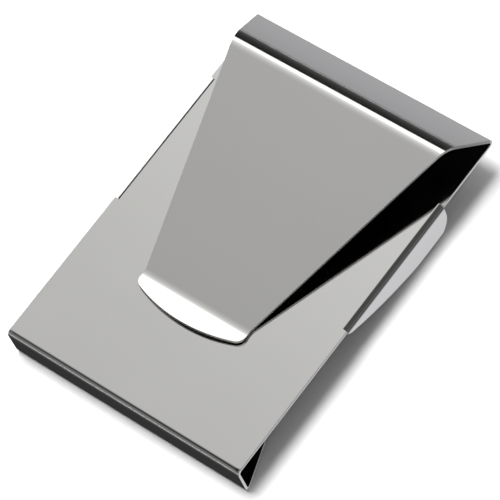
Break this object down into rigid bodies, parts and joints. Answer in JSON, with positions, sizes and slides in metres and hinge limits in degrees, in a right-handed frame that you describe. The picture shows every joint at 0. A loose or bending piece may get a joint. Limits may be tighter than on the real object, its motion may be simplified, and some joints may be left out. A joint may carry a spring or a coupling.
{
  "type": "money clip",
  "caption": "Double-sided sprung steel money clip: tapered folding-money tongue over a flat plate, card tongue and side ears behind.",
  "frame": {"origin": "middle of the length and width, on the level that the clip lies on (card side down)", "axes": "+X across the width, +Y along the length towards the hem of the money spring, +Z out of the money side"},
  "size_m": [0.056, 0.0792, 0.0148],
  "materials": {
    "polished_steel": "mirror-polished stainless spring steel"
  },
  "bodies": {
    "clip_body": {"plate": "polished_steel", "right_ear": "polished_steel", "left_ear": "polished_steel", "money_hem": "polished_steel", "card_shoulder": "polished_steel", "card_wall": "polished_steel", "card_fold": "polished_steel"},
    "money_spring": {"money_ramp": "polished_steel", "money_crest": "polished_steel", "money_tongue": "polished_steel", "money_lip": "polished_steel"},
    "card_spring": {"card_tongue": "polished_steel", "card_lip": "polished_steel"}
  },
  "joints": [
    {"name": "money_spring_flex", "type": "hinge", "parent": "clip_body", "child": "money_spring", "pos_m": [0, 0.03865, 0.00765], "axis": [-1, 0, 0], "range_deg": [0, 6], "stiffness_Nm_per_rad": 2, "springref_deg": -2.86, "deforming": ["money_hem"]},
    {"name": "card_spring_flex", "type": "hinge", "parent": "clip_body", "child": "card_spring", "pos_m": [0, -0.0387, 0.0009], "axis": [-1, 0, 0], "range_deg": [0, 6], "stiffness_Nm_per_rad": 2, "springref_deg": -2.86, "deforming": ["card_fold"]}
  ]
}
